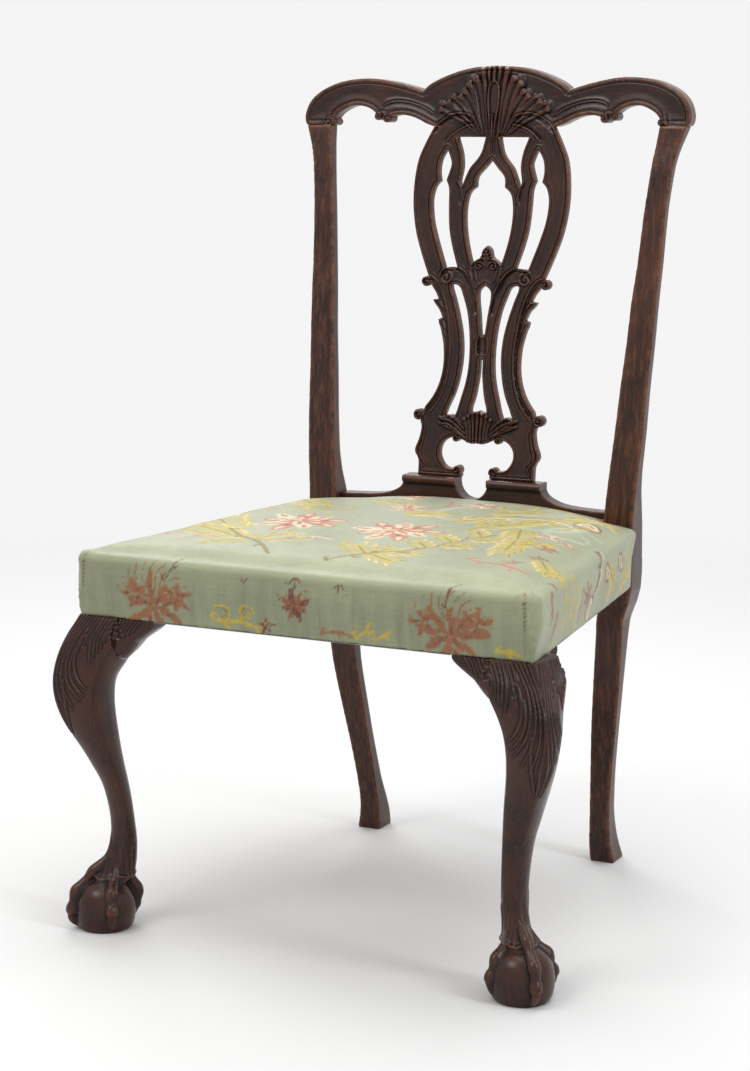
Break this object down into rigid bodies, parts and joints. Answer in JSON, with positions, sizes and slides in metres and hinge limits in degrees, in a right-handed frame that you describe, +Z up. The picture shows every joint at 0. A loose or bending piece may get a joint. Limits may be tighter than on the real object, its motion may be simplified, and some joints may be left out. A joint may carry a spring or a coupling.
{
  "type": "side chair",
  "caption": "Carved mahogany side chair with a pierced splat, serpentine crest rail, cabriole front legs on ball-and-claw feet and a seat upholstered over its rails.",
  "frame": {"origin": "on the floor, under the middle of the chair's plan, between the front claws and the back feet", "axes": "+Z up, +Y towards the back, +X to the right of someone who faces the front of the chair; the chair faces -Y"},
  "size_m": [0.6008, 0.5653, 0.9745],
  "materials": {
    "mahogany": "dark polished mahogany, worn lighter on the edges",
    "frame_timber": "raw ash, unpolished",
    "peg_timber": "riven oak pegs, unpolished",
    "iron": "dull forged iron",
    "webbing": "plain woven flax webbing",
    "sackcloth": "coarse sackcloth",
    "stuffing": "curled horsehair",
    "linen": "plain linen",
    "brocade": "sage green silk brocade with floral sprays",
    "lining": "grey lining cloth"
  },
  "bodies": {
    "root": {"crest_rail": "mahogany", "splat": "mahogany", "splat_shoe": "mahogany", "rear_leg_left": "mahogany", "rear_leg_right": "mahogany", "front_leg_left": "mahogany", "front_leg_right": "mahogany", "front_rail": "frame_timber", "rear_rail": "frame_timber", "side_rail_left": "frame_timber", "side_rail_right": "frame_timber", "knee_bracket_front_left": "mahogany", "knee_bracket_front_right": "mahogany", "knee_bracket_side_left": "mahogany", "knee_bracket_side_right": "mahogany", "corner_block_front_left": "frame_timber", "corner_block_front_right": "frame_timber", "corner_block_rear_left": "frame_timber", "corner_block_rear_right": "frame_timber", "joint_pegs": "peg_timber", "shoe_nails": "iron", "webbing_lengthwise": "webbing", "webbing_crosswise": "webbing", "webbing_tacks": "iron", "sackcloth": "sackcloth", "edge_roll": "sackcloth", "seat_stuffing": "stuffing", "linen_cover": "linen", "seat_cover": "brocade", "cover_tacks": "iron", "lining_tab": "lining"}
  },
  "joints": []
}
